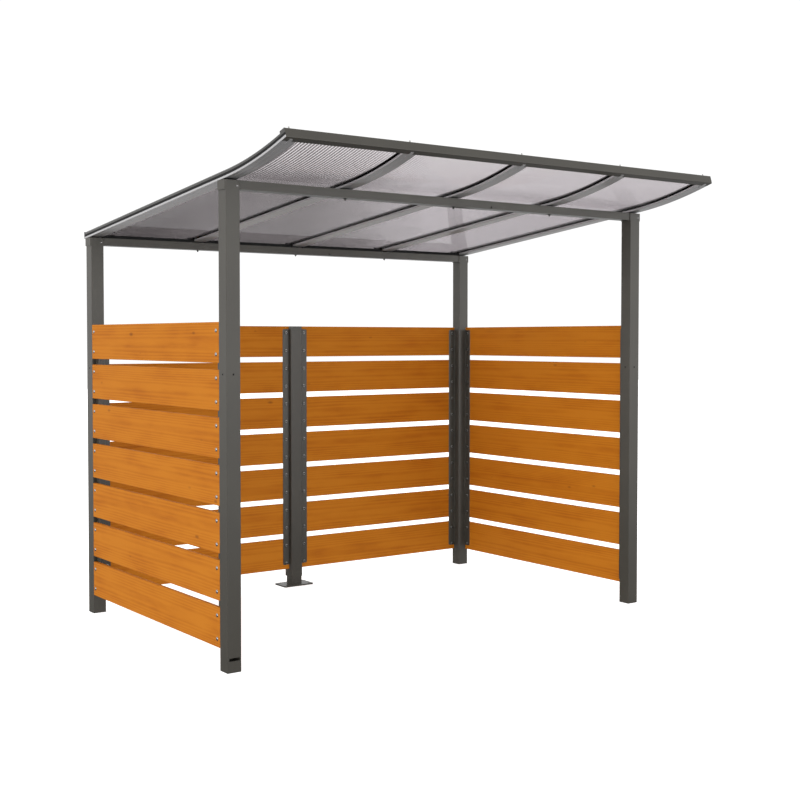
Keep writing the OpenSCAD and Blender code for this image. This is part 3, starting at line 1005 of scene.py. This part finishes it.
def flatPiece(name, half, height, material):
    # a square of the stage at one height
    mesh = bpy.data.meshes.new(name)
    places = [(x * half, y * half, height) for x, y in ((-1, -1), (1, -1), (1, 1), (-1, 1))]
    mesh.from_pydata(places, [], [(0, 1, 2, 3)])
    mesh.materials.append(material)
    piece = bpy.data.objects.new(name, mesh)
    bpy.context.collection.objects.link(piece)
    return piece


def layFloor():
    # a pale floor that shows white; its light on the object comes from the sky's lower half instead
    material, tree = newMaterial("paleFloor")
    surface = addNode(tree, "BsdfPrincipled",
                      {"Base Color": linearColour(studio["floorColour"]), "Roughness": 0.9,
                       "Emission Color": (1, 1, 1, 1), "Emission Strength": studio["floorGlow"]})
    finishMaterial(tree, surface)
    floor = flatPiece("floor", studio["floor"] / 2, studio["floorHeight"], material)
    floor.visible_diffuse = floor.visible_glossy = floor.visible_transmission = False


def layMat():
    # a mat round the object, seen only as a reflection: black in the middle and faded out at its
    # rim, with a clearness of ln(1 + r) / ln(1 + rim) at the distance r
    material, tree = newMaterial("shadedMat")
    place = addNode(tree, "TexCoord").outputs["Object"]
    away = addNode(tree, "VectorMath", {"operation": "LENGTH"}, {0: place})
    beyond = addNode(tree, "Math", {"operation": "ADD", 1: 1.0},
                     {0: away.outputs["Value"]})
    clear = addNode(tree, "Math", {"operation": "LOGARITHM", 1: 1 + studio["mat"]},
                    {0: beyond.outputs[0]})
    shade = addNode(tree, "Math", {"operation": "SUBTRACT", 0: 1.0, "use_clamp": True},
                    {1: clear.outputs[0]})
    surface = addNode(tree, "BsdfPrincipled",
                      {"Base Color": (0, 0, 0, 1), "Specular IOR Level": 0.0, "Roughness": 1.0},
                      {"Alpha": shade.outputs[0]})
    finishMaterial(tree, surface)
    mat = flatPiece("mat", studio["mat"], studio["matHeight"], material)
    mat.visible_camera = mat.visible_diffuse = False
    mat.visible_transmission = mat.visible_shadow = False


def lightScene():
    # the world's strength: ground below, sky above, and each soft light added in its own direction
    world = bpy.data.worlds.new("studio")
    bpy.context.scene.world = world
    world.use_nodes = True
    tree = world.node_tree
    tree.nodes.clear()
    direction = addNode(tree, "TexCoord").outputs["Generated"]
    height = addNode(tree, "SeparateXYZ", {}, {"Vector": direction})
    share = addNode(tree, "MapRange",
                    {"From Min": studio["horizon"][0], "From Max": studio["horizon"][1],
                     "To Min": studio["ground"], "To Max": studio["sky"]},
                    {"Value": height.outputs["Z"]}).outputs["Result"]
    for strength, towards, start, full in studio["lights"]:
        towards = np.array(towards) / np.linalg.norm(towards)
        close = addNode(tree, "VectorMath", {"operation": "DOT_PRODUCT", 1: towards},
                        {0: direction})
        light = addNode(tree, "MapRange",
                        {"interpolation_type": "SMOOTHSTEP", "From Min": start, "From Max": full},
                        {"Value": close.outputs["Value"]})
        share = addNode(tree, "Math", {"operation": "MULTIPLY_ADD", 1: strength},
                        {0: light.outputs["Result"], 2: share}).outputs[0]
    # what the camera sees behind the object is plain white
    seen = addNode(tree, "LightPath").outputs["Is Camera Ray"]
    share = addNode(tree, "Mix", {"data_type": "FLOAT", 3: studio["backdrop"]},
                    {0: seen, 2: share})
    glow = addNode(tree, "Background", {"Color": (1, 1, 1, 1)},
                   {"Strength": share.outputs[0]})
    addNode(tree, "OutputWorld", {}, {"Surface": glow.outputs["Background"]})
    bpy.context.scene.view_settings.view_transform = "Standard"


layFloor()
layMat()
lightScene()
print("floor and lights set")
